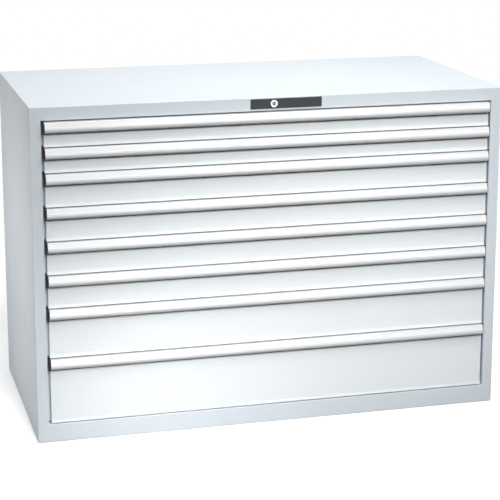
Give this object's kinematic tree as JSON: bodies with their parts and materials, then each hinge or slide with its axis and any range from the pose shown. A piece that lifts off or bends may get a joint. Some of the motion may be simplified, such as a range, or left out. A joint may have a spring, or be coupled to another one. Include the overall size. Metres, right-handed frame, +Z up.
{
  "type": "workshop drawer cabinet",
  "caption": "Wide steel workshop cabinet with flush drawers of several heights, full-width grip strips, telescopic slides and one central lock.",
  "frame": {"origin": "middle of the footprint on the floor; the footprint counts the grip strips that stand proud of the front", "axes": "+X along the front to the viewer's right, +Y from the front to the back, +Z up"},
  "size_m": [1.431, 0.725, 1],
  "materials": {
    "housing_paint": "fine textured powder coat, light grey",
    "front_paint": "fine textured powder coat, near white",
    "tray_paint": "smooth powder coat, light grey",
    "handle_metal": "satin anodised",
    "label_white": "matt white label behind a clear strip",
    "end_cap_black": "satin black",
    "zinc_steel": "bright zinc",
    "lock_plate_dark": "satin anthracite",
    "lock_chrome": "satin nickel"
  },
  "bodies": {
    "housing": {"side_panel_left": "housing_paint", "side_panel_right": "housing_paint", "back_panel": "housing_paint", "top_panel": "housing_paint", "base_plinth": "housing_paint", "runner_posts": "housing_paint", "cabinet_rails": "zinc_steel", "lock_plate": "lock_plate_dark", "lock_cylinder": "lock_chrome"},
    "drawer_1": {"drawer_1_tray": "tray_paint", "drawer_1_front": "front_paint", "drawer_1_handle": "handle_metal", "drawer_1_label": "label_white", "drawer_1_end_caps": "end_cap_black"},
    "carriage_1": {"drawer_1_carriages": "zinc_steel"},
    "drawer_2": {"drawer_2_tray": "tray_paint", "drawer_2_front": "front_paint", "drawer_2_handle": "handle_metal", "drawer_2_label": "label_white", "drawer_2_end_caps": "end_cap_black"},
    "carriage_2": {"drawer_2_carriages": "zinc_steel"},
    "drawer_3": {"drawer_3_tray": "tray_paint", "drawer_3_front": "front_paint", "drawer_3_handle": "handle_metal", "drawer_3_label": "label_white", "drawer_3_end_caps": "end_cap_black"},
    "carriage_3": {"drawer_3_carriages": "zinc_steel"},
    "drawer_4": {"drawer_4_tray": "tray_paint", "drawer_4_front": "front_paint", "drawer_4_handle": "handle_metal", "drawer_4_label": "label_white", "drawer_4_end_caps": "end_cap_black"},
    "carriage_4": {"drawer_4_carriages": "zinc_steel"},
    "drawer_5": {"drawer_5_tray": "tray_paint", "drawer_5_front": "front_paint", "drawer_5_handle": "handle_metal", "drawer_5_label": "label_white", "drawer_5_end_caps": "end_cap_black"},
    "carriage_5": {"drawer_5_carriages": "zinc_steel"},
    "drawer_6": {"drawer_6_tray": "tray_paint", "drawer_6_front": "front_paint", "drawer_6_handle": "handle_metal", "drawer_6_label": "label_white", "drawer_6_end_caps": "end_cap_black"},
    "carriage_6": {"drawer_6_carriages": "zinc_steel"},
    "drawer_7": {"drawer_7_tray": "tray_paint", "drawer_7_front": "front_paint", "drawer_7_handle": "handle_metal", "drawer_7_label": "label_white", "drawer_7_end_caps": "end_cap_black"},
    "carriage_7": {"drawer_7_carriages": "zinc_steel"},
    "drawer_8": {"drawer_8_tray": "tray_paint", "drawer_8_front": "front_paint", "drawer_8_handle": "handle_metal", "drawer_8_label": "label_white", "drawer_8_end_caps": "end_cap_black"},
    "carriage_8": {"drawer_8_carriages": "zinc_steel"},
    "lock_plug": {"lock_plug": "lock_chrome"},
    "lock_link": {"lock_link": "zinc_steel"},
    "lock_bar": {"lock_bar": "zinc_steel"}
  },
  "joints": [
    {"name": "drawer_1_slide", "type": "slide", "parent": "housing", "child": "drawer_1", "axis": [0, -1, 0], "range_m": [0, 0.62]},
    {"name": "carriage_1_slide", "type": "slide", "parent": "housing", "child": "carriage_1", "axis": [0, -1, 0], "range_m": [0, 0.31]},
    {"name": "drawer_2_slide", "type": "slide", "parent": "housing", "child": "drawer_2", "axis": [0, -1, 0], "range_m": [0, 0.62]},
    {"name": "carriage_2_slide", "type": "slide", "parent": "housing", "child": "carriage_2", "axis": [0, -1, 0], "range_m": [0, 0.31]},
    {"name": "drawer_3_slide", "type": "slide", "parent": "housing", "child": "drawer_3", "axis": [0, -1, 0], "range_m": [0, 0.62]},
    {"name": "carriage_3_slide", "type": "slide", "parent": "housing", "child": "carriage_3", "axis": [0, -1, 0], "range_m": [0, 0.31]},
    {"name": "drawer_4_slide", "type": "slide", "parent": "housing", "child": "drawer_4", "axis": [0, -1, 0], "range_m": [0, 0.62]},
    {"name": "carriage_4_slide", "type": "slide", "parent": "housing", "child": "carriage_4", "axis": [0, -1, 0], "range_m": [0, 0.31]},
    {"name": "drawer_5_slide", "type": "slide", "parent": "housing", "child": "drawer_5", "axis": [0, -1, 0], "range_m": [0, 0.62]},
    {"name": "carriage_5_slide", "type": "slide", "parent": "housing", "child": "carriage_5", "axis": [0, -1, 0], "range_m": [0, 0.31]},
    {"name": "drawer_6_slide", "type": "slide", "parent": "housing", "child": "drawer_6", "axis": [0, -1, 0], "range_m": [0, 0.62]},
    {"name": "carriage_6_slide", "type": "slide", "parent": "housing", "child": "carriage_6", "axis": [0, -1, 0], "range_m": [0, 0.31]},
    {"name": "drawer_7_slide", "type": "slide", "parent": "housing", "child": "drawer_7", "axis": [0, -1, 0], "range_m": [0, 0.62]},
    {"name": "carriage_7_slide", "type": "slide", "parent": "housing", "child": "carriage_7", "axis": [0, -1, 0], "range_m": [0, 0.31]},
    {"name": "drawer_8_slide", "type": "slide", "parent": "housing", "child": "drawer_8", "axis": [0, -1, 0], "range_m": [0, 0.62]},
    {"name": "carriage_8_slide", "type": "slide", "parent": "housing", "child": "carriage_8", "axis": [0, -1, 0], "range_m": [0, 0.31]},
    {"name": "lock_turn", "type": "hinge", "parent": "housing", "child": "lock_plug", "pos_m": [0, -0.3445, 0.9815], "axis": [0, 1, 0], "range_deg": [0, 90]},
    {"name": "lock_link_slide", "type": "slide", "parent": "housing", "child": "lock_link", "axis": [1, 0, 0], "range_m": [0, 0.01131]},
    {"name": "lock_bar_lift", "type": "slide", "parent": "housing", "child": "lock_bar", "axis": [0, 0, 1], "range_m": [0, 0.01132]}
  ],
  "couplings": [
    {"joint": "carriage_1_slide", "follows": "drawer_1_slide", "ratio": 0.5},
    {"joint": "carriage_2_slide", "follows": "drawer_2_slide", "ratio": 0.5},
    {"joint": "carriage_3_slide", "follows": "drawer_3_slide", "ratio": 0.5},
    {"joint": "carriage_4_slide", "follows": "drawer_4_slide", "ratio": 0.5},
    {"joint": "carriage_5_slide", "follows": "drawer_5_slide", "ratio": 0.5},
    {"joint": "carriage_6_slide", "follows": "drawer_6_slide", "ratio": 0.5},
    {"joint": "carriage_7_slide", "follows": "drawer_7_slide", "ratio": 0.5},
    {"joint": "carriage_8_slide", "follows": "drawer_8_slide", "ratio": 0.5},
    {"joint": "lock_turn", "follows": "lock_link_slide", "rad_per_m": 138.84},
    {"joint": "lock_bar_lift", "follows": "lock_link_slide", "ratio": 1}
  ]
}
